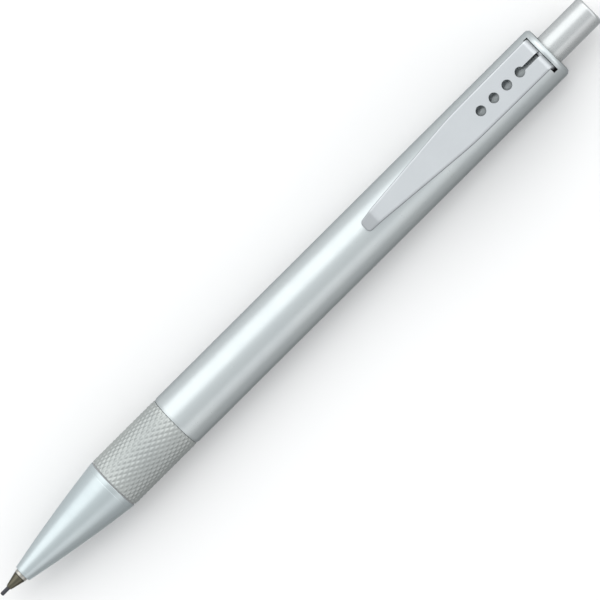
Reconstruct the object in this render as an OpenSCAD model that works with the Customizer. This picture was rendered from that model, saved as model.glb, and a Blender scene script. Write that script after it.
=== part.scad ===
// Mechanical pencil with a screw-on nose cone, a knurled grip, a pocket clip and a push button.
// The pencil lies along X: lead tip at -X, push button at +X, clip on top (+Z).
// The barrel rests on Z = 0 and the origin is under the middle of the length.

/* [Lead] */
// Diameter of the lead
lead_d = 0.7; // [0.5:0.1:0.8]
// Length of a whole lead
lead_len = 60; // [50:1:60]
// Length of lead that shows in front of the guide
lead_show = 1.7; // [0.5:0.1:2]
// Number of spare leads in the magazine
spare_count = 4; // [1:1:4]

/* [Nose] */
// Length of the lead guide's cone and collar
guide_len = 3.25; // [3:0.05:4]
// Diameter at the front of the lead guide
guide_tip_d = 1.0; // [1:0.05:1.3]
// Diameter of the lead guide's collar
guide_collar_d = 2.4; // [2.3:0.05:2.8]
// Length of the nose cone
nose_len = 21.2; // [21:0.1:23]
// Diameter of the nose cone's front face
nose_front_d = 3.1; // [3:0.1:3.6]
// How far the nose cone's outline bows out from a straight taper
nose_bow = 0.2; // [0:0.05:0.3]

/* [Body] */
// Outer diameter of grip and barrel
body_d = 10; // [10:0.1:11]
// Length of the knurled grip sleeve
grip_len = 14.45; // [14:0.05:18]
// Length of the barrel tube
barrel_len = 86.9; // [86:0.1:92]
// Wall of the barrel tube
barrel_wall = 0.7; // [0.6:0.05:0.8]
// Thickness of the washer between nose cone and grip
washer_t = 0.2; // [0.1:0.05:0.3]

/* [Clip] */
// Length of the clip from its tip to its root
clip_len = 40.7; // [38:0.1:44]
// Width of the clip's parallel part
clip_w = 6.4; // [6:0.1:6.4]
// Width of the clip at its tip
clip_tip_w = 2.3; // [2:0.1:3]
// Thickness of the clip's sheet
clip_t = 0.55; // [0.4:0.05:0.6]
// Gap between the barrel and the clip's flat part
clip_gap = 1.3; // [1:0.1:2]
// Diameter of the round holes in the clip
clip_hole_d = 1.8; // [1.2:0.1:2]
// Distance between the clip's holes
clip_hole_pitch = 3; // [2.5:0.1:3.2]
// Width of the slot that runs from the last hole to the root
clip_slot_w = 0.7; // [0.5:0.1:1]

/* [Button] */
// Diameter of the push button
button_d = 5.56; // [5.4:0.02:5.56]
// Length of the push button that shows behind the barrel
button_show = 9.6; // [8:0.1:11]
// Stroke of the push button
stroke = 3.5; // [2:0.1:3.5]
// Travel of the clutch ring before it meets its stop
ring_travel = 0.9; // [0.5:0.1:0.9]

/* [Hidden] */
$fn = 96;
eps = 0.01;

// Clearances: a close running fit, a free running fit and the gap left between pressed pieces
fit = 0.03;
free_fit = 0.05;
seat = 0.02;
thread_gap = 0.04;
sleeve_gap = 0.07;
ring_gap = 0.1;
lead_play = 0.1;

// Small edge breaks
lead_edge = 0.08;
fine_edge = 0.1;
soft_edge = 0.2;
broad_edge = 0.3;

// How far a cutting shape runs past what it cuts
overrun = 1;

// Stations along the pencil, measured from the lead's tip
z_guide = lead_show;
z_nose = z_guide + guide_len;
z_washer = z_nose + nose_len;
z_grip = z_washer + washer_t;
z_barrel = z_grip + grip_len;
z_end = z_barrel + barrel_len;
z_total = z_end + button_show;
body_r = body_d / 2;
barrel_r_in = body_r - barrel_wall;
lead_r = lead_d / 2;

// Lead guide: a pressed shank behind the collar, with a counterbore for the rubber retainer
collar_len = 0.65;
shank_r = 1.1;
shank_len = 5.55;
z_shank_end = z_nose + shank_len;
retainer_r = 0.85;
retainer_len = 2.3;
retainer_pocket_len = 2.5;
z_retainer = z_shank_end - retainer_pocket_len;

// Mechanism, counted back from the nose cone's rear face
nose_bore_r = 1.75;
stop_depth = 11.65;
z_ring_stop = z_washer - stop_depth;
z_ring = z_ring_stop + ring_travel + free_fit;
ring_len = 2;
ring_r = 2.0;
z_sleeve = z_ring + ring_len + fit;
flange_depth = 6.55;
z_flange = z_washer - flange_depth;
flange_t = 1.1;
flange_r = 3.2;
sleeve_r = 2.68;
sleeve_bore_r = 2.2;
sleeve_lip_len = 0.5;
sleeve_front_t = 1.5;
z_spring = z_sleeve + sleeve_front_t;
spring_closed_len = 4.4;
spring_len = stroke + spring_closed_len;
z_connector = z_spring + spring_len + seat;
sleeve_tail_len = 7;
z_sleeve_end = z_connector + sleeve_tail_len;
z_coupling = z_flange + flange_t + seat;
thread_r = 3.48;
coupling_r = 3.98;
coupling_bore_r = 2.4;
coupling_rear_len = 8;

// Chuck: head in front, stem behind, split into three jaws
chuck_front = 0.9;
z_chuck = z_ring - chuck_front;
chuck_head_r = 1.5;
chuck_face_r = 1.25;
chuck_face_len = 0.4;
chuck_stem_r = 0.85;
chuck_seat_len = 2.6;
stem_gap = 0.08;
z_chuck_neck = z_ring + ring_len - fine_edge;
z_chuck_end = z_connector + chuck_seat_len;
jaw_slit_w = 0.25;
jaw_slit_len = 9.5;

// Connector and magazine
connector_flange_r = 2.1;
connector_flange_t = 1;
connector_len = 6;
funnel_r = 1.3;
funnel_lead_in = 0.5;
magazine_r = 1.9;
magazine_bore_r = 1.5;
z_magazine = z_connector + connector_len;
spigot_len = 4;
magazine_depth = 1.7;
z_magazine_end = z_end - magazine_depth;
spare_gap = 2.5;
z_spare = lead_len + spare_gap;

// Return spring
spring_turns = 8;
spring_wire_r = 0.19;
spring_r = 1.75;

// Barrel end, clip collar and button guide
edge_r = 0.6;
window_depth = 1.95;
z_window = z_end - window_depth;
window_len = 0.85;
window_floor_y = 2.3;
window_margin = 0.5;
window_half_w = clip_w / 2 + window_margin;
collar_depth = 8.4;
z_collar = z_end - collar_depth;
collar_recess = 0.65;
guide_r = 3.5;
guide_flange_t = 0.4;
guide_recess = 0.2;
button_r = button_d / 2;
button_depth = 5.7;
z_button = z_end - button_depth;
button_bore_r = 2.3;
button_cap_t = 0.7;
button_edge_r = 0.5;

// Eraser and its holder
holder_plug_len = 3.2;
holder_len = 5;
holder_r = button_bore_r - fit;
holder_floor = 1.2;
eraser_r = 1.85;
z_eraser = z_magazine_end + holder_floor;
eraser_len = 6.8;

// Clip: sheet bent down at the root into a tongue, and down at the tip onto the barrel
clip_root_depth = 1.2;
z_clip_root = z_end - clip_root_depth;
z_clip_tip = z_clip_root - clip_len;
clip_y = body_r + clip_gap;
clip_bend_r = 1.2;
clip_bend_facets = 64;
clip_taper_len = 19;
clip_drop_len = 3.0;
tongue_gap = 0.12;
tongue_y = guide_r + tongue_gap;
tip_gap = 0.03;
tip_lift = 0.12;
tip_heel_len = 0.35;
knee_len = 0.25;
knee_dip = 0.04;
keyhole_depth = 4.6;
hole_facets = 48;

// Places what is drawn along Z, with Y up, into the pencil's lying frame
module lying() {
    translate([-z_total / 2, 0, body_r])
        rotate([90, 0, 90])
            children();
}

// Solid of revolution from an outline of [radius, station] points
module turned(outline) {
    rotate_extrude() polygon(outline);
}

// Plain tube from station z0 to z1
module tube(z0, z1, r_out, r_in) {
    turned([[r_in, z0], [r_out, z0], [r_out, z1], [r_in, z1]]);
}

// Solid rod from station z0 to z1 with small chamfers at both ends
module rod(z0, z1, r, chamfer) {
    turned([
        [0, z0], [r - chamfer, z0], [r, z0 + chamfer],
        [r, z1 - chamfer], [r - chamfer, z1], [0, z1]
    ]);
}

// Radius of the nose cone's outline at u = 0 (front) to 1 (rear)
function nose_r(u) = nose_front_d / 2 + (body_r - nose_front_d / 2) * u + 4 * nose_bow * u * (1 - u);

// Radius of the chuck's head behind its widest place, tapering to the stem
function chuck_cone_r(z) =
    chuck_head_r - (chuck_head_r - chuck_stem_r) * (z - z_chuck - chuck_face_len)
    / (z_chuck_neck - z_chuck - chuck_face_len);

module lead() {
    color("dimgray")
        lying() rod(0, lead_len, lead_r, lead_edge);
}

module spare_leads() {
    spread_r = magazine_bore_r - lead_r - seat;
    step = 2 * asin((lead_r + seat) / spread_r);
    color("dimgray")
        lying()
            for (i = [0 : spare_count - 1])
                rotate([0, 0, -90 + step * (i - (spare_count - 1) / 2)])
                    translate([spread_r, 0, 0])
                        rod(z_spare, z_spare + lead_len, lead_r, lead_edge);
}

module lead_guide() {
    bore_r = lead_r + fit;
    tip_r = guide_tip_d / 2;
    tip_edge = 0.06;
    collar_r = guide_collar_d / 2;
    shoulder = 0.08;
    color("tan")
        lying() turned([
            [bore_r, z_guide], [tip_r - tip_edge / 2, z_guide], [tip_r, z_guide + tip_edge],
            [collar_r - shoulder, z_nose - collar_len], [collar_r, z_nose - collar_len],
            [collar_r, z_nose - seat], [shank_r, z_nose - seat], [shank_r, z_shank_end],
            [retainer_r + seat, z_shank_end], [retainer_r + seat, z_retainer], [bore_r, z_retainer]
        ]);
}

module lead_retainer() {
    color("black")
        lying() tube(z_retainer, z_retainer + retainer_len, retainer_r, lead_r + eps);
}

module nose_cone() {
    steps = 24;
    edge = 0.12;
    u_edge = edge / nose_len;
    z_flange_face = z_flange + flange_t;
    z_recess = z_sleeve + sleeve_lip_len - fine_edge;
    outline = [for (i = [0 : steps]) let (u = u_edge + (1 - 2 * u_edge) * i / steps)
        [nose_r(u), z_nose + nose_len * u]];
    color("silver")
        lying() turned(concat(
            [[shank_r + seat, z_nose], [nose_front_d / 2 - edge / 2, z_nose]],
            outline,
            [
                [body_r - edge, z_washer], [thread_r + thread_gap, z_washer],
                [thread_r + thread_gap, z_flange_face], [flange_r + free_fit, z_flange_face],
                [flange_r + free_fit, z_flange - ring_gap], [sleeve_r + sleeve_gap, z_flange - ring_gap],
                [sleeve_r + sleeve_gap, z_recess], [ring_r + ring_gap, z_recess],
                [ring_r + ring_gap, z_ring_stop], [nose_bore_r, z_ring_stop],
                [nose_bore_r, z_shank_end + free_fit], [shank_r + seat, z_shank_end + free_fit]
            ]
        ));
}

module nose_washer() {
    inset = 0.25;
    color("gray")
        lying() tube(z_washer, z_grip, body_r - inset, thread_r + free_fit);
}

module clutch_ring() {
    stem_hole_r = chuck_stem_r + free_fit;
    color("goldenrod")
        lying() turned([
            [chuck_cone_r(z_ring) + fit, z_ring], [ring_r - fine_edge, z_ring],
            [ring_r, z_ring + fine_edge], [ring_r, z_ring + ring_len], [stem_hole_r, z_ring + ring_len],
            [stem_hole_r, z_chuck_neck], [chuck_cone_r(z_chuck_neck) + fit, z_chuck_neck]
        ]);
}

module chuck() {
    jaw_bore_r = lead_r + seat;
    stem_bore_r = lead_r + lead_play;
    z_jaw_end = z_ring + ring_len;
    color("gold")
        lying() difference() {
            turned([
                [jaw_bore_r, z_chuck], [chuck_face_r, z_chuck], [chuck_head_r, z_chuck + chuck_face_len],
                [chuck_stem_r, z_chuck_neck], [chuck_stem_r, z_chuck_end], [stem_bore_r, z_chuck_end],
                [stem_bore_r, z_jaw_end], [jaw_bore_r, z_jaw_end]
            ]);
            for (a = [0 : 120 : 240])
                rotate([0, 0, a])
                    translate([0, -jaw_slit_w / 2, z_chuck - overrun])
                        cube([2 * chuck_head_r, jaw_slit_w, jaw_slit_len + overrun]);
        }
}

module mechanism_sleeve() {
    stem_hole_r = chuck_stem_r + stem_gap;
    color("darkgoldenrod")
        lying() turned([
            [stem_hole_r, z_sleeve], [ring_r, z_sleeve], [ring_r, z_sleeve + sleeve_lip_len],
            [sleeve_r, z_sleeve + sleeve_lip_len], [sleeve_r, z_flange], [flange_r, z_flange],
            [flange_r, z_flange + flange_t], [sleeve_r, z_flange + flange_t],
            [sleeve_r, z_sleeve_end], [sleeve_bore_r, z_sleeve_end],
            [sleeve_bore_r, z_spring], [stem_hole_r, z_spring]
        ]);
}

// One corner of the spring wire's six-sided section: turn angle a, section angle b, height z
function coil_point(a, b, z) = let (r = spring_r + spring_wire_r * cos(b))
    [r * cos(a), r * sin(a), z + spring_wire_r * sin(b)];

module return_spring() {
    sides = 6;
    per_turn = 18;
    rings = spring_turns * per_turn;
    z_low = z_spring + spring_wire_r + eps;
    rise = spring_len - 2 * spring_wire_r - 2 * eps;
    points = [for (i = [0 : rings]) for (j = [0 : sides - 1])
        coil_point(360 * i / per_turn, 360 * j / sides, z_low + rise * i / rings)];
    side_faces = [for (i = [0 : rings - 1]) for (j = [0 : sides - 1]) let (k = (j + 1) % sides)
        each [
            [i * sides + j, (i + 1) * sides + k, (i + 1) * sides + j],
            [i * sides + j, i * sides + k, (i + 1) * sides + k]
        ]];
    end_faces = [
        [for (j = [0 : sides - 1]) sides - 1 - j],
        [for (j = [0 : sides - 1]) rings * sides + j]
    ];
    color("slategray")
        lying() polyhedron(points, concat(side_faces, end_faces));
}

module chuck_connector() {
    lead_bore_r = lead_r + lead_play;
    z_step = z_connector + connector_flange_t;
    z_funnel = z_magazine + funnel_lead_in;
    z_tail = z_magazine + spigot_len;
    color("khaki")
        lying() turned([
            [chuck_stem_r + seat, z_connector], [connector_flange_r, z_connector],
            [connector_flange_r, z_step], [magazine_r, z_step],
            [magazine_r, z_magazine - seat], [magazine_bore_r - seat, z_magazine - seat],
            [magazine_bore_r - seat, z_tail], [funnel_r, z_tail], [lead_bore_r, z_funnel],
            [lead_bore_r, z_chuck_end + seat], [chuck_stem_r + seat, z_chuck_end + seat]
        ]);
}

module lead_magazine() {
    color("whitesmoke")
        lying() tube(z_magazine, z_magazine_end, magazine_r, magazine_bore_r);
}

module front_coupling() {
    z_rear = z_barrel + coupling_rear_len;
    z_step = z_sleeve_end + ring_gap;
    bore_r = sleeve_r + seat;
    rear_r = barrel_r_in - seat;
    color("darkkhaki")
        lying() turned([
            [bore_r, z_coupling], [thread_r - soft_edge, z_coupling], [thread_r, z_coupling + soft_edge],
            [thread_r, z_grip], [coupling_r, z_grip], [coupling_r, z_barrel], [rear_r, z_barrel],
            [rear_r, z_rear - broad_edge], [rear_r - broad_edge, z_rear], [coupling_bore_r, z_rear],
            [coupling_bore_r, z_step], [bore_r, z_step]
        ]);
}

module grip_sleeve() {
    edge = 0.25;
    color("lightgray")
        lying() turned([
            [coupling_r + seat, z_grip], [body_r - edge, z_grip], [body_r, z_grip + edge],
            [body_r, z_barrel - edge - seat], [body_r - edge, z_barrel - seat],
            [coupling_r + seat, z_barrel - seat]
        ]);
}

// Quarter round from the outside of the barrel to its end face
function rim_points(steps) = [for (i = [0 : steps]) let (a = 90 * i / steps)
    [body_r - edge_r + edge_r * cos(a), z_end - edge_r + edge_r * sin(a)]];

module barrel() {
    edge = 0.27;
    rim_steps = 8;
    color("silver")
        lying() difference() {
            turned(concat(
                [[barrel_r_in, z_barrel], [body_r - edge, z_barrel], [body_r, z_barrel + edge]],
                rim_points(rim_steps),
                [[barrel_r_in, z_end]]
            ));
            translate([-window_half_w, window_floor_y, z_window])
                cube([2 * window_half_w, body_r, window_len]);
        }
}

// Side view of the clip: x is the station, y the height above the axis
module clip_side() {
    z_flat = z_clip_root - clip_bend_r;
    z_drop = z_clip_tip + clip_drop_len;
    clip_top_y = clip_y + clip_t;
    bend_y = clip_top_y - clip_bend_r;
    bend_inner_r = clip_bend_r - clip_t;
    tip_y = body_r + tip_gap;
    difference() {
        union() {
            translate([z_drop, clip_y]) square([z_flat - z_drop, clip_t]);
            translate([z_flat, bend_y]) circle(clip_bend_r, $fn = clip_bend_facets);
            translate([z_clip_root - clip_t, tongue_y]) square([clip_t, bend_y - tongue_y]);
            polygon([
                [z_drop, clip_y], [z_drop, clip_top_y], [z_drop - knee_len, clip_top_y - knee_dip],
                [z_clip_tip, tip_y + clip_t + tip_lift], [z_clip_tip, tip_y + tip_lift],
                [z_clip_tip + tip_heel_len, tip_y], [z_drop - fine_edge, clip_y - fit]
            ]);
        }
        translate([z_flat, bend_y]) circle(bend_inner_r, $fn = clip_bend_facets);
        translate([z_flat - clip_bend_r - eps, clip_y - 2 * clip_bend_r])
            square([clip_bend_r + eps, 2 * clip_bend_r]);
        translate([z_flat - eps, clip_y - 2 * clip_bend_r])
            square([bend_inner_r + eps, clip_bend_r + clip_t]);
    }
}

// Top view of the clip: x is the station, y runs across the pencil
module clip_top() {
    half = clip_w / 2;
    tip_half = clip_tip_w / 2;
    corner = 0.55;
    corner_cut = 0.165;
    shoulder_in = 0.3;
    blend_len = 8;
    blend_in = 0.06;
    z_wide = z_clip_tip + clip_taper_len;
    z_blend = z_wide + blend_len;
    z_stop = z_clip_root + overrun;
    one_side = [
        [z_clip_tip, tip_half - corner], [z_clip_tip + corner_cut, tip_half - corner_cut],
        [z_clip_tip + corner, tip_half], [z_wide, half - shoulder_in],
        [z_blend, half - blend_in], [z_stop, half]
    ];
    last = len(one_side) - 1;
    polygon(concat(one_side, [for (i = [last : -1 : 0]) [one_side[i][0], -one_side[i][1]]]));
}

module clip() {
    z_keyhole = z_clip_root - keyhole_depth;
    reach = 2 * body_d;
    // The turns put the drawn x on the station axis and the drawn y on the height
    color("silver")
        lying() difference() {
            intersection() {
                rotate([0, -90, 0])
                    translate([0, 0, -clip_w])
                        linear_extrude(2 * clip_w) clip_side();
                translate([0, reach, 0])
                    rotate([90, -90, 0])
                        linear_extrude(reach) clip_top();
            }
            for (i = [0 : 3])
                translate([0, reach, z_keyhole - i * clip_hole_pitch])
                    rotate([90, 0, 0])
                        cylinder(h = reach - body_r, r = clip_hole_d / 2, $fn = hole_facets);
            translate([-clip_slot_w / 2, clip_y - broad_edge, z_keyhole])
                cube([clip_slot_w, clip_t + overrun, z_clip_root - z_keyhole + overrun]);
        }
}

module clip_collar() {
    slot_gap = 0.15;
    color("dimgray")
        lying() difference() {
            tube(z_collar, z_end - collar_recess, barrel_r_in - seat, guide_r + seat);
            translate([-clip_w / 2 - slot_gap, guide_r, z_clip_root - clip_t - slot_gap])
                cube([clip_w + 2 * slot_gap, body_r, clip_t + 2 * slot_gap]);
        }
}

module button_guide() {
    bore_r = button_r + free_fit;
    top = z_end - guide_recess;
    color("gainsboro")
        lying() turned([
            [bore_r, z_collar], [guide_r, z_collar], [guide_r, top - guide_flange_t],
            [barrel_r_in - seat, top - guide_flange_t], [barrel_r_in - seat, top], [bore_r, top]
        ]);
}

module push_button() {
    steps = 8;
    rounded = [for (i = [0 : steps]) let (a = 90 * i / steps)
        [button_r - button_edge_r * (1 - cos(a)), z_total - button_edge_r * (1 - sin(a))]];
    color("silver")
        lying() turned(concat(
            [[button_bore_r, z_button], [button_r, z_button]],
            rounded,
            [[0, z_total], [0, z_total - button_cap_t], [button_bore_r, z_total - button_cap_t]]
        ));
}

module eraser() {
    z_top = z_eraser + eraser_len;
    color("white")
        lying() turned([
            [0, z_eraser], [eraser_r, z_eraser], [eraser_r, z_top - broad_edge],
            [eraser_r - broad_edge, z_top], [0, z_top]
        ]);
}

module eraser_holder() {
    z_plug = z_magazine_end - holder_plug_len;
    z_top = z_magazine_end + holder_len;
    color("khaki")
        lying() turned([
            [0, z_plug], [magazine_bore_r - broad_edge, z_plug],
            [magazine_bore_r - seat, z_plug + broad_edge],
            [magazine_bore_r - seat, z_magazine_end + seat], [holder_r, z_magazine_end + seat],
            [holder_r, z_top], [eraser_r + seat, z_top], [eraser_r + seat, z_eraser - eps],
            [0, z_eraser - eps]
        ]);
}

lead();
spare_leads();
lead_guide();
lead_retainer();
nose_cone();
nose_washer();
clutch_ring();
chuck();
mechanism_sleeve();
return_spring();
chuck_connector();
lead_magazine();
front_coupling();
grip_sleeve();
barrel();
clip();
clip_collar();
button_guide();
push_button();
eraser();
eraser_holder();
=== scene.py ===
import math

import bmesh
import bpy
from mathutils import Matrix, Vector


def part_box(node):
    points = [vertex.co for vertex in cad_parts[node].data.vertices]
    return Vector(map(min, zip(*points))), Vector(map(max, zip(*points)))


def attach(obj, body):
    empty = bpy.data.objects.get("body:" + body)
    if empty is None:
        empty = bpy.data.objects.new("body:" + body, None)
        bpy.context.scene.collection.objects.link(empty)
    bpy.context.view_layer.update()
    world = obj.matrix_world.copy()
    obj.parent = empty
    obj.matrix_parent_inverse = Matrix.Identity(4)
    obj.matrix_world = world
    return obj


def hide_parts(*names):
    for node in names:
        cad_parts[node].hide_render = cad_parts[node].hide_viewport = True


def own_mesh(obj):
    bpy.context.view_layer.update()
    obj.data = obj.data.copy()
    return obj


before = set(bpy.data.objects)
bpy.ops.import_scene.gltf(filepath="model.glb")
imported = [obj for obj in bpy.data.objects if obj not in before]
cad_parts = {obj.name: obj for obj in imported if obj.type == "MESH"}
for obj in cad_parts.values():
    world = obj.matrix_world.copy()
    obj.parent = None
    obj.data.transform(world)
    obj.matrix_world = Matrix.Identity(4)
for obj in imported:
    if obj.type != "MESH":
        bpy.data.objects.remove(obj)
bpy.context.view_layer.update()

MM = 0.001
UM = 0.001 * MM
TAU = 2 * math.pi
TINY = 1e-7              # metres; points closer than this are one point
SHARP_ANGLE = 28         # degrees between faces, above which an edge stays sharp

# Radii of small rounded edges
HAIR = 0.02 * MM
CRISP = 0.03 * MM
SOFT = 0.05 * MM
EASED = 0.08 * MM
BROKEN = 0.10 * MM


# ---------------------------------------------------------------- places, from the frame

def span(node):
    """Lowest and highest X of a CAD node."""
    low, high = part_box(node)
    return low.x, high.x


AXIS_Z = (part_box("barrel")[0].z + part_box("barrel")[1].z) / 2
BODY_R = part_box("barrel")[1].z - AXIS_Z
TIP_X = span("lead")[0]
END_X = span("push_button")[1]


# ---------------------------------------------------------------- mesh helpers

def shade(mesh, sharp_above=SHARP_ANGLE):
    """Smooth shading, with edges kept sharp above that many degrees."""
    mesh.shade_smooth()
    mesh.set_sharp_from_angle(angle=math.radians(sharp_above))


def new_object(name, bm, sharp_above=SHARP_ANGLE):
    """Makes a shaded object from a bmesh, and frees the bmesh."""
    bmesh.ops.recalc_face_normals(bm, faces=bm.faces)
    mesh = bpy.data.meshes.new(name)
    bm.to_mesh(mesh)
    bm.free()
    shade(mesh, sharp_above)
    obj = bpy.data.objects.new(name, mesh)
    bpy.context.scene.collection.objects.link(obj)
    return obj


def fillet(corners, closed=True, steps=4):
    """Rounds the corners (x, r, radius) of an outline and returns its plain (x, r) points. A rounding
    takes at most just under half of each side next to it."""
    most_of_side = 0.49
    nearly_straight = math.radians(179)
    points = []
    count = len(corners)
    for i, (x, r, radius) in enumerate(corners):
        here = Vector((x, r))
        at_end = not closed and i in (0, count - 1)
        if radius <= 0 or at_end:
            points.append(here)
            continue
        before = Vector(corners[i - 1][:2])
        after = Vector(corners[(i + 1) % count][:2])
        to_before = (before - here).normalized()
        to_after = (after - here).normalized()
        angle = to_before.angle(to_after)
        if angle > nearly_straight:
            points.append(here)
            continue
        reach = radius / math.tan(angle / 2)
        reach = min(reach, most_of_side * (before - here).length, most_of_side * (after - here).length)
        radius = reach * math.tan(angle / 2)
        centre = here + (to_before + to_after).normalized() * (radius / math.sin(angle / 2))
        start = here + to_before * reach - centre
        sweep = start.angle_signed(here + to_after * reach - centre)
        for k in range(steps + 1):
            turn = -sweep * k / steps
            points.append(centre + Matrix.Rotation(turn, 2) @ start)
    return [(p.x, p.y) for p in points]


def axis_ring(bm, x, radii):
    """A ring of vertices about the pencil's axis, with a radius for each."""
    ring = []
    for k, r in enumerate(radii):
        a = TAU * k / len(radii)
        ring.append(bm.verts.new((x, r * math.cos(a), AXIS_Z + r * math.sin(a))))
    return ring


def bridge(bm, rings, closed=False, capped=False):
    """Faces between neighbouring rings of vertices. A ring of one vertex is a point that they meet in.
    closed joins the last ring to the first, and capped fills the first and the last."""
    pairs = list(zip(rings, rings[1:]))
    if closed:
        pairs.append((rings[-1], rings[0]))
    for one, two in pairs:
        sides = max(len(one), len(two))
        for k in range(sides):
            n = (k + 1) % sides
            corners = [one[k % len(one)], one[n % len(one)], two[n % len(two)], two[k % len(two)]]
            bm.faces.new(list(dict.fromkeys(corners)))
    if capped:
        bm.faces.new(rings[0])
        bm.faces.new(rings[-1])


def lathe(name, outline, segments, closed=True, radius_at=None):
    """Turns an outline of (x, r) points about the pencil's axis. An open outline ends on the axis."""
    bm = bmesh.new()
    rings = []
    for x, r in outline:
        if r < TINY:
            rings.append([bm.verts.new((x, 0, AXIS_Z))])
        elif radius_at:
            rings.append(axis_ring(bm, x, [radius_at(x, TAU * k / segments, r) for k in range(segments)]))
        else:
            rings.append(axis_ring(bm, x, [r] * segments))
    bridge(bm, rings, closed=closed)
    return new_object(name, bm)


def sweep_coil(name, path, section, sharp_above):
    """Sweeps a section, a function of step giving (outward, along) points, along a coil about the axis.
    path is a list of (x, radius, angle)."""
    bm = bmesh.new()
    rings = []
    for i, (x, radius, angle) in enumerate(path):
        out = Vector((0, math.cos(angle), math.sin(angle)))
        centre = Vector((x, 0, AXIS_Z)) + out * radius
        rings.append([bm.verts.new(centre + out * u + Vector((v, 0, 0))) for u, v in section(i)])
    bridge(bm, rings, capped=True)
    return new_object(name, bm, sharp_above)


def cut(obj, cutter):
    """Cuts the cutter's shape out of obj, and removes the cutter."""
    modifier = obj.modifiers.new("cut", "BOOLEAN")
    modifier.operation = "DIFFERENCE"
    modifier.solver = "EXACT"
    modifier.object = cutter
    bpy.context.view_layer.update()
    depsgraph = bpy.context.evaluated_depsgraph_get()
    mesh = bpy.data.meshes.new_from_object(obj.evaluated_get(depsgraph))
    obj.modifiers.clear()
    obj.data = mesh
    bpy.data.objects.remove(cutter)


def finish_piece(obj, body, material, replaced=()):
    """Gives a piece its material, body and material slot, and the CAD nodes it stands for."""
    obj.data.materials.clear()
    obj.data.materials.append(material)
    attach(obj, body)
    if replaced:
        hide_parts(*replaced)


# ---------------------------------------------------------------- material helpers

# The Mix node's sockets for colours
MIX_FACTOR = 0
MIX_ONE = 6
MIX_TWO = 7
MIX_RESULT = 2


def shader_of(material):
    return material.node_tree.nodes["Principled BSDF"]


def new_material(name, colour, metallic, roughness, **sockets):
    """A Principled material. Uniform values go straight on the shader's own sockets."""
    material = bpy.data.materials.new(name)
    material.use_nodes = True
    shader = shader_of(material)
    shader.inputs["Base Color"].default_value = (*colour, 1)
    shader.inputs["Metallic"].default_value = metallic
    shader.inputs["Roughness"].default_value = roughness
    for socket, value in sockets.items():
        shader.inputs[socket.replace("_", " ")].default_value = value
    return material


def add(material, kind, **values):
    """Adds a node, and sets its inputs and properties by name."""
    node = material.node_tree.nodes.new(kind)
    for key, value in values.items():
        if key in node.inputs:
            node.inputs[key].default_value = value
        else:
            setattr(node, key, value)
    return node


def link(material, source, target):
    material.node_tree.links.new(source, target)


def drive(material, socket, value):
    """Links a value to one of the shader's inputs."""
    link(material, value, shader_of(material).inputs[socket])


def grain(material, scale, detail, stretch=(1, 1, 1)):
    """Noise in the object's own metres, stretched by a scale on each axis. Returns its value output."""
    place = add(material, "ShaderNodeTexCoord")
    mapping = add(material, "ShaderNodeMapping", Scale=stretch)
    noise = add(material, "ShaderNodeTexNoise", Scale=scale, Detail=detail, Roughness=0.55)
    link(material, place.outputs["Object"], mapping.inputs["Vector"])
    link(material, mapping.outputs["Vector"], noise.inputs["Vector"])
    return noise.outputs["Fac"]


def ranged(material, value, low, high, from_low=0.3, from_high=0.7):
    """Maps a value to a range. Noise lies mostly between the first two limits."""
    node = add(material, "ShaderNodeMapRange")
    node.inputs["From Min"].default_value = from_low
    node.inputs["From Max"].default_value = from_high
    node.inputs["To Min"].default_value = low
    node.inputs["To Max"].default_value = high
    link(material, value, node.inputs["Value"])
    return node.outputs["Result"]


def mix_colour(material, factor, one, two):
    node = add(material, "ShaderNodeMix", data_type="RGBA")
    node.inputs[MIX_ONE].default_value = (*one, 1)
    node.inputs[MIX_TWO].default_value = (*two, 1)
    link(material, factor, node.inputs[MIX_FACTOR])
    return node.outputs[MIX_RESULT]


def product(material, one, two):
    node = add(material, "ShaderNodeMath", operation="MULTIPLY")
    link(material, one, node.inputs[0])
    link(material, two, node.inputs[1])
    return node.outputs[0]


def bump(material, height, strength, distance):
    """Relief on the whole material."""
    node = add(material, "ShaderNodeBump", Strength=strength, Distance=distance)
    link(material, height, node.inputs["Height"])
    drive(material, "Normal", node.outputs["Normal"])


# ---------------------------------------------------------------- kinds of material

def satin_metal(name, colour, worn, roughness, grain_scale, stretch, tooth, edge=0.55):
    """Satin metal: fine directional grain in the roughness and relief, with faint handling marks.
    edge is how bright it stays at grazing angles."""
    tint = (edge, edge + 0.01, edge + 0.02, 1)
    material = new_material(name, colour, 1.0, roughness, Specular_Tint=tint)
    fine = grain(material, grain_scale, detail=5, stretch=stretch)
    patches = grain(material, scale=160, detail=3)
    drive(material, "Base Color", mix_colour(material, ranged(material, patches, 0, 1), colour, worn))
    fine_rough = ranged(material, fine, roughness - 0.05, roughness + 0.06)
    patch_rough = ranged(material, patches, 0.94, 1.08)
    drive(material, "Roughness", product(material, fine_rough, patch_rough))
    bump(material, fine, strength=0.35, distance=tooth)
    return material


def plain_material(name, colour, other, metallic, roughness, scale, tooth, **sockets):
    """Any other surface: two near colours mixed by noise, with its own roughness grain and relief."""
    material = new_material(name, colour, metallic, roughness, **sockets)
    fine = grain(material, scale, detail=4)
    drive(material, "Base Color", mix_colour(material, ranged(material, fine, 0, 1), colour, other))
    drive(material, "Roughness", ranged(material, fine, roughness - 0.06, roughness + 0.08))
    bump(material, fine, strength=0.3, distance=tooth)
    return material


def paper(name, grey):
    """Matt grey paper, very faintly mottled."""
    mottle = 0.01
    material = new_material(name, [grey] * 3, 0, 0.9, Specular_IOR_Level=0.1)
    patches = grain(material, scale=12, detail=2)
    mixed = mix_colour(material, patches, [grey - mottle] * 3, [grey + mottle] * 3)
    drive(material, "Base Color", mixed)
    return material


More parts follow.
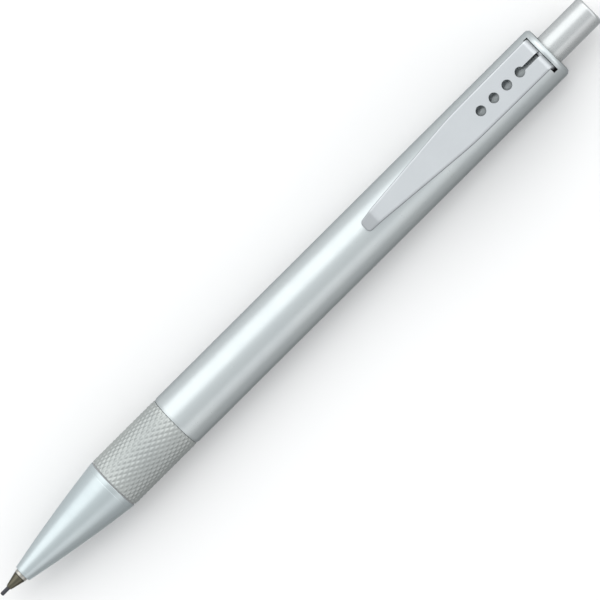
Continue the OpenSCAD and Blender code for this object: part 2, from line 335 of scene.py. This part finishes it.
def paint_shade_in_hollows(material, reach, deepest, opens_at):
    """Darkens the base colour where other surfaces stand within reach: painted shade, as light reaches a
    recess less.
    deepest is the share of the colour that stays there."""
    # Painted shade: occlusion darkens the colour in hollows, gaps and under nearby parts
    crowding = add(material, "ShaderNodeAmbientOcclusion", samples=8, Distance=reach)
    share = ranged(material, crowding.outputs["AO"], 1 - deepest, 0, 0.0, opens_at)
    unshaded = shader_of(material).inputs["Base Color"].links[0].from_socket
    node = add(material, "ShaderNodeMix", data_type="RGBA")
    node.inputs[MIX_TWO].default_value = (0, 0, 0, 1)
    link(material, share, node.inputs[MIX_FACTOR])
    link(material, unshaded, node.inputs[MIX_ONE])
    drive(material, "Base Color", node.outputs[MIX_RESULT])


# Directions of the grain
TURNED = (1, 0.04, 0.04)     # runs round the pencil
DRAWN = (0.02, 1, 1)         # runs along the pencil
BRUSHED = (0.3, 1, 1)        # short strokes along the pencil
EVEN = (1, 1, 1)


# ---------------------------------------------------------------- metals outside

barrel_metal = satin_metal(
    "barrel_metal", colour=(0.485, 0.52, 0.525), worn=(0.465, 0.50, 0.51),
    roughness=0.33, grain_scale=9000, stretch=BRUSHED, tooth=2 * UM
)
# Painted shade on the barrel: darker under the clip, through its holes and where the floor is near
paint_shade_in_hollows(barrel_metal, reach=6.0 * MM, deepest=0.02, opens_at=0.58)

nose_metal = satin_metal(
    "nose_metal", colour=(0.455, 0.505, 0.515), worn=(0.435, 0.485, 0.50),
    roughness=0.34, grain_scale=14000, stretch=TURNED, tooth=3 * UM, edge=0.85
)

knurled_metal = satin_metal(
    "knurled_metal", colour=(0.39, 0.41, 0.40), worn=(0.35, 0.37, 0.365),
    roughness=0.46, grain_scale=12000, stretch=EVEN, tooth=3 * UM, edge=0.85
)
# Painted shade in the knurl's grooves
paint_shade_in_hollows(knurled_metal, reach=0.25 * MM, deepest=0.35, opens_at=0.85)

clip_metal = satin_metal(
    "clip_metal", colour=(0.430, 0.450, 0.465), worn=(0.41, 0.43, 0.445),
    roughness=0.34, grain_scale=9000, stretch=DRAWN, tooth=3 * UM
)
# Painted shade in the clip's hole walls and underside, where it nears the barrel
paint_shade_in_hollows(clip_metal, reach=1.5 * MM, deepest=0.15, opens_at=0.6)

button_metal = satin_metal(
    "button_metal", colour=(0.475, 0.495, 0.495), worn=(0.47, 0.485, 0.49),
    roughness=0.30, grain_scale=9000, stretch=BRUSHED, tooth=0.5 * UM, edge=0.62
)

# Painted reflection: the polished cone's dark olive colour stands in for the dark surroundings it reflects
guide_metal = satin_metal(
    "guide_metal", colour=(0.11, 0.104, 0.078), worn=(0.09, 0.084, 0.062),
    roughness=0.12, grain_scale=16000, stretch=TURNED, tooth=2 * UM
)

guide_collar_metal = satin_metal(
    "guide_collar_metal", colour=(0.40, 0.39, 0.36), worn=(0.36, 0.35, 0.32),
    roughness=0.16, grain_scale=16000, stretch=TURNED, tooth=2 * UM
)


# ---------------------------------------------------------------- metals and lead inside

brass = satin_metal(
    "turned_brass", colour=(0.80, 0.61, 0.30), worn=(0.70, 0.52, 0.25),
    roughness=0.26, grain_scale=12000, stretch=TURNED, tooth=4 * UM
)

spring_steel = satin_metal(
    "spring_steel", colour=(0.50, 0.51, 0.53), worn=(0.42, 0.43, 0.45),
    roughness=0.30, grain_scale=9000, stretch=EVEN, tooth=2 * UM
)

graphite = plain_material(
    "graphite", colour=(0.022, 0.023, 0.030), other=(0.05, 0.052, 0.062),
    metallic=0.35, roughness=0.42, scale=9000, tooth=6 * UM
)


# ---------------------------------------------------------------- rubbers and plastics

rubber = plain_material(
    "black_rubber", colour=(0.018, 0.018, 0.02), other=(0.03, 0.03, 0.032),
    metallic=0.0, roughness=0.62, scale=5000, tooth=6 * UM
)

washer_rubber = plain_material(
    "washer_rubber", colour=(0.27, 0.27, 0.275), other=(0.32, 0.32, 0.325),
    metallic=0.0, roughness=0.55, scale=5000, tooth=6 * UM
)

eraser_rubber = plain_material(
    "eraser_rubber", colour=(0.84, 0.84, 0.81), other=(0.74, 0.74, 0.72),
    metallic=0.0, roughness=0.75, scale=1800, tooth=30 * UM
)

magazine_plastic = plain_material(
    "magazine_plastic", colour=(0.78, 0.80, 0.80), other=(0.74, 0.77, 0.78),
    metallic=0.0, roughness=0.32, scale=900, tooth=4 * UM, Transmission_Weight=0.5
)

collar_plastic = plain_material(
    "collar_plastic", colour=(0.03, 0.03, 0.032), other=(0.05, 0.05, 0.052),
    metallic=0.0, roughness=0.45, scale=3000, tooth=6 * UM
)

guide_plastic = plain_material(
    "guide_plastic", colour=(0.62, 0.61, 0.56), other=(0.57, 0.56, 0.52),
    metallic=0.0, roughness=0.38, scale=2600, tooth=6 * UM
)


# ---------------------------------------------------------------- turned pieces

def build_lead():
    """The lead, with a slightly worn writing end."""
    x0, x1 = span("lead")
    r = 0.35 * MM
    worn_r = 0.24 * MM
    worn_length = 0.12 * MM
    corners = [
        (x0, 0, 0), (x0, worn_r, SOFT), (x0 + worn_length, r, EASED), (x1, r, SOFT), (x1, 0, 0)
    ]
    obj = lathe("lead_stick", fillet(corners, closed=False), 64, closed=False)
    finish_piece(obj, "lead", graphite, ["lead"])


def build_lead_guide():
    """The tapered guide with its shank, and a bright rounded collar where it meets the nose cone."""
    x0, x1 = span("lead_guide")
    segments = 128
    seat = span("nose_cone")[0] - 0.02 * MM
    neck_x = seat - 0.63 * MM
    neck = 0.96 * MM
    front_r = 0.5 * MM
    cone_r = 1.13 * MM
    shank_r = 1.1 * MM
    bore = 0.38 * MM
    pocket_r = 0.87 * MM             # for the lead retainer
    pocket_x = x1 - 2.5 * MM
    corners = [
        (x0, bore, HAIR), (x0, front_r, SOFT), (neck_x - 0.05 * MM, cone_r, 0.04 * MM),
        (neck_x, neck, HAIR), (seat, neck, 0), (seat, shank_r, HAIR), (x1, shank_r, 0.06 * MM),
        (x1, pocket_r, HAIR), (pocket_x, pocket_r, 0), (pocket_x, bore, 0)
    ]
    obj = lathe("lead_guide_cone", fillet(corners), segments)
    finish_piece(obj, "nose", guide_metal, ["lead_guide"])
    overlap = 0.03 * MM
    collar_x = neck_x + overlap
    collar_bore = neck - overlap
    collar_r = 1.2 * MM
    corners = [
        (collar_x, collar_bore, 0), (collar_x, collar_r, 0.16 * MM), (seat, collar_r, BROKEN),
        (seat, collar_bore, 0)
    ]
    collar = lathe("lead_guide_collar", fillet(corners, steps=6), segments)
    finish_piece(collar, "nose", guide_collar_metal)


def build_nose():
    """The slightly bowed taper, with a fine groove near its rear edge and a stepped bore."""
    x0, x1 = span("nose_cone")
    length = x1 - x0
    front_r = 1.55 * MM
    bow = 0.2 * MM
    steps = 40
    first, covered = 0.006, 0.99     # shares of the length where the taper's points start, and span

    def outer(u):
        return front_r + (BODY_R - front_r) * u + 4 * bow * u * (1 - u)

    shares = [first + covered * i / steps for i in range(steps + 1)]
    outside = [(x0 + length * u, outer(u), 0) for u in shares]
    groove_x = x1 - 0.85 * MM
    groove_half = 0.09 * MM
    groove_depth = 0.03 * MM
    groove_r = outer(1 - (x1 - groove_x) / length)
    groove = [
        (groove_x - groove_half, groove_r, 0), (groove_x, groove_r - groove_depth, 0),
        (groove_x + groove_half, groove_r, 0)
    ]
    outside = sorted([p for p in outside if abs(p[0] - groove_x) > 2 * groove_half] + groove)

    front_bore = 1.12 * MM
    front_bore_end = x0 + 5.6 * MM
    bores = [3.52 * MM, 3.25 * MM, 2.75 * MM, 2.1 * MM, 1.75 * MM]      # from the rear forward
    depths = [5.45 * MM, 6.65 * MM, 8.27 * MM, 11.65 * MM]              # of each step, from the rear
    inside = [(x1, bores[0], EASED)]
    for wide, narrow, depth in zip(bores, bores[1:], depths):
        inside += [(x1 - depth, wide, 0), (x1 - depth, narrow, 0)]
    inside += [(front_bore_end, bores[-1], 0), (front_bore_end, front_bore, 0)]

    front = [(x0, front_bore, CRISP), (x0, outer(0) - HAIR, SOFT)]
    rear = [(x1, BODY_R - 0.06 * MM, CRISP)]
    obj = lathe("nose_cone_shell", fillet(front + outside + rear + inside), 192)
    finish_piece(obj, "nose", nose_metal, ["nose_cone"])


def build_grip():
    """Diamond knurling cut by two crossed sets of helical grooves."""
    x0, x1 = span("grip_sleeve")
    around, along = 35, 9            # diamonds round the sleeve and along it
    samples = 12                     # points across each diamond
    depth = 0.14 * MM
    edge = 0.07 * MM
    bore = 4.0 * MM
    inner_x0, inner_x1 = x0 + edge, x1 - edge
    segments = around * samples
    rows = along * samples + 4

    def groove(t):
        """0 at the bottom of a sharp groove and 1 on the rounded crest between two grooves."""
        return abs(math.sin(math.pi * t))

    def knurled(j, k):
        """Radius at row j and vertex k. The relief fades a little at both ends."""
        c = k / samples
        z = along * j / rows
        at_edge = min(1.0, 0.5 + min(j, rows - j) * 0.25)
        height = groove(c + z) * groove(c - z) * at_edge
        return BODY_R - depth + depth * height

    end_r = BODY_R - depth - edge
    chamfer_r = BODY_R - depth - edge * 0.6
    bm = bmesh.new()
    rings = [
        axis_ring(bm, x0, [bore] * segments), axis_ring(bm, x0, [end_r] * segments),
        axis_ring(bm, x0 + HAIR, [chamfer_r] * segments)
    ]
    for j in range(rows + 1):
        x = inner_x0 + (inner_x1 - inner_x0) * j / rows
        rings.append(axis_ring(bm, x, [knurled(j, k) for k in range(segments)]))
    rings += [
        axis_ring(bm, x1 - HAIR, [chamfer_r] * segments), axis_ring(bm, x1, [end_r] * segments),
        axis_ring(bm, x1, [bore] * segments)
    ]
    bridge(bm, rings, closed=True)
    obj = new_object("grip_sleeve_knurled", bm, 50)
    finish_piece(obj, "barrel_assembly", knurled_metal, ["grip_sleeve"])


def build_barrel():
    """The tube, with a rounded rear shoulder and a window for the clip's tongue."""
    x0, x1 = span("barrel")
    bore = 4.3 * MM
    front_drop = 0.13 * MM
    front_length = 0.50 * MM
    shoulder_drop = 0.42 * MM
    shoulder_length = 0.55 * MM
    corners = [
        (x0, bore, SOFT), (x0, BODY_R - front_drop, CRISP), (x0 + front_length, BODY_R, 0.9 * MM),
        (x1 - shoulder_length, BODY_R, 0.8 * MM), (x1, BODY_R - shoulder_drop, 0.35 * MM),
        (x1, bore, BROKEN)
    ]
    obj = lathe("barrel_tube", fillet(corners, steps=8), 256)

    window_half = 3.7 * MM
    window_length = 0.85 * MM
    window_x = x1 - 1.95 * MM
    cutter_up = 4.8 * MM             # from the axis to the cutter's middle
    cutter_tall = 5.0 * MM
    place = Matrix.Translation((window_x + window_length / 2, 0, AXIS_Z + cutter_up))
    size = Matrix.Diagonal((window_length, 2 * window_half, cutter_tall, 1))
    bm = bmesh.new()
    bmesh.ops.create_cube(bm, size=1, matrix=place @ size)
    cut(obj, new_object("window_cutter", bm))
    shade(obj.data)
    finish_piece(obj, "barrel_assembly", barrel_metal, ["barrel"])


def build_button():
    """A plain cap with a rounded end, open towards the barrel."""
    x0, x1 = span("push_button")
    r = 2.78 * MM
    bore = 2.3 * MM
    end_wall = 0.7 * MM
    corners = [
        (x1, 0, 0), (x1, r, 0.5 * MM), (x0, r, BROKEN), (x0, bore, BROKEN),
        (x1 - end_wall, bore, 0.3 * MM), (x1 - end_wall, 0, 0)
    ]
    obj = lathe("push_button_cap", fillet(corners, closed=False, steps=8), 160, closed=False)
    finish_piece(obj, "push_button", button_metal, ["push_button"])


def build_eraser():
    """A plug whose end is rounded and worn more on one side."""
    x0, x1 = span("eraser")
    r = 1.85 * MM
    worn_length = 0.9 * MM
    wear = 0.05
    worn_side = 0.7                  # radians

    def worn(x, a, radius):
        rise = max(0.0, (x - (x1 - worn_length)) / worn_length)
        return radius * (1 - wear * rise * (1 + math.cos(a - worn_side)))

    corners = [(x0, 0, 0), (x0, r, BROKEN), (x1, r, 0.7 * MM), (x1, 0, 0)]
    obj = lathe("eraser_plug", fillet(corners, closed=False, steps=8), 96, closed=False, radius_at=worn)
    finish_piece(obj, "eraser", eraser_rubber, ["eraser"])


# ---------------------------------------------------------------- coiled pieces

def build_spring():
    """The return spring, which shortens by the button's stroke."""
    x0, x1 = span("return_spring")
    wire = 0.19 * MM
    coil_r = 1.75 * MM
    turns = 8.5
    per_turn = 48
    sides = 12
    dead = 0.9                       # turns at each end that lie nearly flat
    dead_rise = 0.05                 # share of the length that each of them takes

    def advance(t):
        """Share of the length reached after t turns."""
        if t < dead:
            return dead_rise * t / dead
        if t > turns - dead:
            return 1 - dead_rise * (turns - t) / dead
        return dead_rise + (1 - 2 * dead_rise) * (t - dead) / (turns - 2 * dead)

    low, high = x0 + wire, x1 - wire
    path = []
    for i in range(int(turns * per_turn) + 1):
        x = low + (high - low) * advance(i / per_turn)
        path.append((x, coil_r, TAU * i / per_turn))
    ring = [(wire * math.cos(TAU * k / sides), wire * math.sin(TAU * k / sides)) for k in range(sides)]
    obj = sweep_coil("return_spring_coil", path, lambda i: ring, 40)
    finish_piece(obj, "barrel_assembly", spring_steel, ["return_spring"])
    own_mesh(obj)


THREAD_CORE = 3.26 * MM


def build_coupling():
    """The threaded bush that joins nose, grip and barrel."""
    x0, x1 = span("front_coupling")
    grip_x0, grip_x1 = span("grip_sleeve")
    grip_seat_r = 3.98 * MM
    barrel_seat_r = 4.28 * MM
    front_bore = 2.70 * MM
    rear_bore = 2.40 * MM
    bore_step_x = x1 - 14.5 * MM
    corners = [
        (x0, front_bore, CRISP), (x0, THREAD_CORE - 0.1 * MM, EASED), (grip_x0, THREAD_CORE, SOFT),
        (grip_x0, grip_seat_r, CRISP), (grip_x1, grip_seat_r, 0), (grip_x1, barrel_seat_r, SOFT),
        (x1, barrel_seat_r, 0.3 * MM), (x1, rear_bore, SOFT), (bore_step_x, rear_bore, 0),
        (bore_step_x, front_bore, 0)
    ]
    bush = lathe("front_coupling_bush", fillet(corners), 128)
    finish_piece(bush, "barrel_assembly", brass, ["front_coupling"])


def build_thread():
    """A real helical thread on the coupling's spigot, which the nose cone screws onto."""
    pitch = 0.75 * MM
    height = 3.48 * MM - THREAD_CORE
    root_half, crest_half = 0.30 * MM, 0.07 * MM
    sunk = 0.03 * MM                 # how far the ridge reaches into the core
    start = span("front_coupling")[0] + 0.55 * MM
    stop = span("grip_sleeve")[0] - 0.75 * MM
    per_turn = 64
    steps = int((stop - start) / pitch * per_turn)
    fade = per_turn * 0.6

    def ridge(i):
        """The ridge's section, which rises from nothing and runs out again over part of a turn."""
        tall = height * min(1.0, (i + 1) / fade, (steps + 1 - i) / fade)
        return [(-sunk, -root_half), (tall, -crest_half), (tall, crest_half), (-sunk, root_half)]

    path = []
    for i in range(steps + 1):
        x = start + (stop - start) * i / steps
        path.append((x, THREAD_CORE, -TAU * i / per_turn))
    thread = sweep_coil("front_coupling_thread", path, ridge, 20)
    finish_piece(thread, "barrel_assembly", brass)


# ---------------------------------------------------------------- clip

SHEET = 0.55 * MM
EDGE_TOP = 0.26 * MM                 # how far in the rounded upper edge reaches
EDGE_LOW = 0.06 * MM                 # the same for the broken lower edge


def side_path(corners):
    """A filleted (x, z) line, with each point's distance from the start."""
    line = [Vector(p) for p in fillet(corners, closed=False, steps=10)]
    stations = [0.0]
    for one, two in zip(line, line[1:]):
        stations.append(stations[-1] + (two - one).length)
    return line, stations


def distance_at(line, stations, x):
    """Distance along the line where it first reaches x."""
    for i in range(len(line) - 1):
        if line[i].x <= x <= line[i + 1].x:
            share = (x - line[i].x) / (line[i + 1].x - line[i].x)
            return stations[i] + share * (stations[i + 1] - stations[i])
    return stations[-1]


def clip_half_width(s):
    """Half the width at distance s from the tip: a taper that blends into a nearly parallel stretch."""
    taper = 1.12 * MM + 0.0876 * s
    parallel = 3.0 * MM + 0.005 * s
    blend = 0.16 * MM
    gap = taper - parallel
    return (taper + parallel - math.sqrt(gap * gap + blend * blend)) / 2


def clip_outline(length):
    """The flat outline, as (distance from the tip, across) points, with rounded corners at the tip."""
    corner = 0.75 * MM
    corner_steps = 6
    steps = 60
    tip_half = clip_half_width(corner)
    one_side = []
    for i in range(corner_steps + 1):
        a = math.pi / 2 * (1 - i / corner_steps)
        one_side.append((corner - corner * math.sin(a), tip_half - corner + corner * math.cos(a)))
    for i in range(1, steps + 1):
        s = corner + (length - corner) * i / steps
        one_side.append((s, clip_half_width(s)))
    return one_side + [(s, -w) for s, w in reversed(one_side)]


def inset(points, amount, length):
    """Moves the outline inward by amount. The root end moves only by what is past the rounded edge."""
    moved = []
    for i, (s, w) in enumerate(points):
        if s > length - TINY:
            moved.append((s - max(0.0, amount - EDGE_TOP), w - math.copysign(amount, w)))
            continue
        before, after = Vector(points[i - 1]), Vector(points[(i + 1) % len(points)])
        tangent = (after - before).normalized()
        moved.append((s + tangent.y * amount, w - tangent.x * amount))
    return moved


def flat_clip(length):
    """The clip before it is bent: x is the distance from the tip, and z the height from mid sheet."""
    top = SHEET / 2
    rounding = [(0, 0.22 * MM), (0.03 * MM, 0.13 * MM), (0.11 * MM, 0.04 * MM), (EDGE_TOP, 0)]
    layers = [(EDGE_LOW, -top), (EDGE_LOW * 0.3, -top + EDGE_LOW * 0.3), (0, -top + EDGE_LOW)]
    layers += [(amount, top - drop) for amount, drop in rounding]
    layers.append((EDGE_TOP + 0.10 * MM, top))
    outline = clip_outline(length)
    bm = bmesh.new()
    rings = []
    for amount, height in layers:
        rings.append([bm.verts.new((s, w, height)) for s, w in inset(outline, amount, length)])
    bridge(bm, rings, capped=True)
    return new_object("clip_plate", bm)


def opening_profile(half):
    """(reach, height) points of a cutter that is half wide in the sheet and breaks both its edges."""
    lip = 0.035 * MM
    top = SHEET / 2
    return [
        (half + lip * 3, -top - 2 * lip), (half, -top + lip),
        (half, top - lip), (half + lip * 3, top + 2 * lip)
    ]


def cut_openings(plate, keyhole_s, slot_end):
    """Three round holes, and a fourth that opens into the slot."""
    holes = 4
    pitch = 3.0 * MM
    hole_r = 0.88 * MM
    sides = 48
    for i in range(holes):
        s = keyhole_s - i * pitch
        bm = bmesh.new()
        rings = []
        for r, z in opening_profile(hole_r):
            angles = [TAU * k / sides for k in range(sides)]
            rings.append([bm.verts.new((s + r * math.cos(a), r * math.sin(a), z)) for a in angles])
        bridge(bm, rings, capped=True)
        cut(plate, new_object("hole_cutter", bm))

    slot_half = 0.35 * MM
    profile = opening_profile(slot_half)
    loop = profile + [(-w, z) for w, z in reversed(profile)]
    bm = bmesh.new()
    ends = [[bm.verts.new((s, w, z)) for w, z in loop] for s in (keyhole_s, slot_end)]
    bridge(bm, ends, capped=True)
    cut(plate, new_object("slot_cutter", bm))


def bend(plate, line, stations):
    """Bends the flat plate along its side view. Returns the bent bmesh, and removes the plate."""
    bm = bmesh.new()
    bm.from_mesh(plate.data)
    for s in stations[1:-1]:
        everything = bm.verts[:] + bm.edges[:] + bm.faces[:]
        bmesh.ops.bisect_plane(bm, geom=everything, plane_co=(s, 0, 0), plane_no=(1, 0, 0), dist=TINY)

    def bent(s):
        i = 0
        while i < len(stations) - 2 and s > stations[i + 1]:
            i += 1
        one, two = line[i], line[i + 1]
        tangent = (two - one).normalized()
        return one + tangent * (s - stations[i]), tangent

    def normal_at(s):
        reach = 0.03 * MM
        behind = bent(max(0.0, s - reach))[1]
        ahead = bent(min(stations[-1], s + reach))[1]
        t = (behind + ahead).normalized()
        return Vector((-t.y, t.x))

    for v in bm.verts:
        here, _ = bent(v.co.x)
        up = normal_at(v.co.x)
        v.co = Vector((here.x + up.x * v.co.z, v.co.y, here.y + up.y * v.co.z))
    bmesh.ops.remove_doubles(bm, verts=bm.verts, dist=TINY)
    bpy.data.objects.remove(plate)
    return bm


def build_clip():
    """The sheet-metal clip, which rises from its tip and bends down through the barrel's window."""
    low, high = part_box("clip")
    mid_z = high.z - SHEET / 2
    root_x = high.x - SHEET / 2
    contact_gap = 0.04 * MM
    contact_z = AXIS_Z + BODY_R + contact_gap + SHEET / 2
    corners = [
        (low.x, contact_z, 0), (low.x + 2.8 * MM, mid_z, 2.5 * MM), (root_x, mid_z, 0.92 * MM),
        (root_x, low.z, 0)
    ]
    line, stations = side_path(corners)
    length = stations[-1]
    root_s = length - (mid_z - low.z) + SHEET / 2
    slot_past_root = 1.0 * MM
    keyhole_s = distance_at(line, stations, high.x - 4.6 * MM)

    plate = flat_clip(length)
    cut_openings(plate, keyhole_s, root_s + slot_past_root)
    obj = new_object("pocket_clip", bend(plate, line, stations), 24)
    finish_piece(obj, "clip", clip_metal, ["clip"])


# ---------------------------------------------------------------- CAD nodes that stay, with softened edges

def dress(node, material, edge=0.04 * MM):
    """Keeps a CAD node and gives it a material and small worn edges."""
    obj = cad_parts[node]
    obj.data.materials.clear()
    obj.data.materials.append(material)
    if edge:
        modifier = obj.modifiers.new("worn_edges", "BEVEL")
        modifier.width = edge
        modifier.segments = 2
        modifier.limit_method = "ANGLE"
        modifier.angle_limit = math.radians(35)
        modifier.harden_normals = True


# ---------------------------------------------------------------- camera

CAMERA_TILT = math.radians(3.5)       # towards the button's end
CAMERA_LEAN = math.radians(7)         # away from square above the clip
CAMERA_TURN = math.radians(44.84)     # angle of the pencil in the picture
VIEW_WIDTH = 99.0 * MM
CAMERA_DISTANCE = 1.3


def camera_axes():
    """The camera's right, up and back, and the directions along and across the pencil in its picture."""
    back = Vector((math.sin(CAMERA_TILT), -math.sin(CAMERA_LEAN), 0))
    back.z = math.sqrt(1 - back.length_squared)
    along = (Vector((1, 0, 0)) - back * back.x).normalized()
    across = back.cross(along)
    right = along * math.cos(CAMERA_TURN) - across * math.sin(CAMERA_TURN)
    up = along * math.sin(CAMERA_TURN) + across * math.cos(CAMERA_TURN)
    return right, up, back, along, across


def build_camera():
    right, up, back, along, across = camera_axes()
    sensor = 36                       # millimetres, as Blender counts it
    shift_along, shift_across = 0.90 * MM, -0.25 * MM
    data = bpy.data.cameras.new("camera")
    data.sensor_width = sensor
    data.lens = sensor * CAMERA_DISTANCE / VIEW_WIDTH
    data.clip_start = 0.05
    data.clip_end = 20
    camera = bpy.data.objects.new("camera", data)
    bpy.context.scene.collection.objects.link(camera)
    middle = Vector(((TIP_X + END_X) / 2, 0, AXIS_Z))
    aim = middle + along * shift_along + across * shift_across
    turn = Matrix((right, up, back)).transposed().to_4x4()
    camera.matrix_world = Matrix.Translation(aim + back * CAMERA_DISTANCE) @ turn
    bpy.context.scene.camera = camera


# ---------------------------------------------------------------- stage, world and lights

def build_floor():
    below = 0.02 * MM
    bm = bmesh.new()
    bmesh.ops.create_grid(bm, x_segments=8, y_segments=8, size=4)
    floor = new_object("floor", bm)
    floor.location.z = -below
    floor.data.materials.append(paper("floor_paper", 0.69))


def build_painted_shade_card():
    """A grey card on the floor to the clip's right, seen only in reflections: painted shade that darkens
    that edge of the metal.
    """
    near, far, half_length = 7 * MM, 0.5, 0.4
    bm = bmesh.new()
    corners = [(-half_length, -far), (half_length, -far), (half_length, -near), (-half_length, -near)]
    bm.faces.new([bm.verts.new((x, y, 0)) for x, y in corners])
    card = new_object("painted_shade_card", bm)
    card.data.materials.append(paper("painted_shade_card_paper", 0.43))
    for ray in ("camera", "diffuse", "transmission", "volume_scatter", "shadow"):
        setattr(card, "visible_" + ray, False)


def build_world():
    """A light tent: brightest above and to the clip's left, dimmer low on the right and beyond the tip."""
    world = bpy.data.worlds.new("studio")
    bpy.context.scene.world = world
    world.use_nodes = True
    place = add(world, "ShaderNodeTexCoord")
    _, _, _, _, across = camera_axes()
    tint = (0.975, 0.99, 1)

    def toward(direction):
        dot = add(world, "ShaderNodeVectorMath", operation="DOT_PRODUCT")
        link(world, place.outputs["Generated"], dot.inputs[0])
        dot.inputs[1].default_value = direction
        return dot.outputs["Value"]

    # Brightness from the pencil's right, at 0, over its top to its left, at 1
    stops = [(0.0, 0.32), (0.08, 0.60), (0.22, 0.96), (0.42, 1.06), (0.52, 1.16), (0.80, 1.20), (1.0, 1.15)]
    sides = add(world, "ShaderNodeValToRGB")
    ramp = sides.color_ramp
    for at, value in stops[1:-1]:
        ramp.elements.new(at)
    for element, (at, value) in zip(ramp.elements, stops):
        element.position = at
        element.color = (*[value * share for share in tint], 1)
    link(world, ranged(world, toward(across), 0, 1, -1, 1), sides.inputs["Fac"])
    tip = ranged(world, toward((-1, 0, 0)), 1.0, 0.72, 0.60, 0.95)
    background = world.node_tree.nodes["Background"]
    link(world, sides.outputs["Color"], background.inputs["Color"])
    link(world, tip, background.inputs["Strength"])


def area_light(name, direction, size, power, colour=(1, 1, 1)):
    """A soft box that faces the pencil's middle, unseen by the camera."""
    distance = 0.8
    data = bpy.data.lights.new(name, "AREA")
    data.shape = "RECTANGLE"
    data.size, data.size_y = size
    data.energy = power
    data.color = colour
    obj = bpy.data.objects.new(name, data)
    bpy.context.scene.collection.objects.link(obj)
    back = Vector(direction).normalized()
    side = Vector((1, 0, 0)).cross(back).normalized()
    along = side.cross(back)
    obj.location = Vector((0, 0, AXIS_Z)) + back * distance
    obj.rotation_mode = "QUATERNION"
    obj.rotation_quaternion = Matrix((along, side, back)).transposed().to_quaternion()
    obj.visible_camera = False


def build_lights():
    """A broad soft box on the clip's left, a weak one low on its right, and a wide one beyond the button,
    which lightens the floor's shadow."""
    _, _, back, _, across = camera_axes()

    def around(degrees):
        """Direction that many degrees from the camera's, turning about the pencil."""
        a = math.radians(degrees)
        return back * math.cos(a) + across * math.sin(a)

    area_light("key_box", around(46), (1.6, 0.92), 4.1, (1.0, 1.0, 0.99))
    area_light("fill_box", around(-61), (1.6, 0.60), 1.95, (1.0, 0.98, 0.98))
    beyond = math.radians(58)
    area_light("end_box", (math.sin(beyond), 0, math.cos(beyond)), (0.9, 1.9), 3.8)


# ---------------------------------------------------------------- the scene

build_camera()
build_floor()
build_world()
build_lights()
# Painted shade beside the pencil, seen only in reflections
build_painted_shade_card()

build_lead()
build_lead_guide()
build_nose()
build_grip()
build_barrel()
build_button()
build_eraser()
build_spring()
build_coupling()
build_thread()
build_clip()

dress("spare_leads", graphite, 0)
dress("lead_retainer", rubber)
dress("nose_washer", washer_rubber, 0.03 * MM)
dress("clutch_ring", brass)
dress("chuck", brass, 0.03 * MM)
dress("mechanism_sleeve", brass)
dress("chuck_connector", brass)
dress("lead_magazine", magazine_plastic)
dress("clip_collar", collar_plastic, 0.06 * MM)
dress("button_guide", guide_plastic, 0.06 * MM)
dress("eraser_holder", brass)

bpy.context.scene.view_settings.view_transform = "Standard"
bpy.context.scene.view_settings.look = "None"
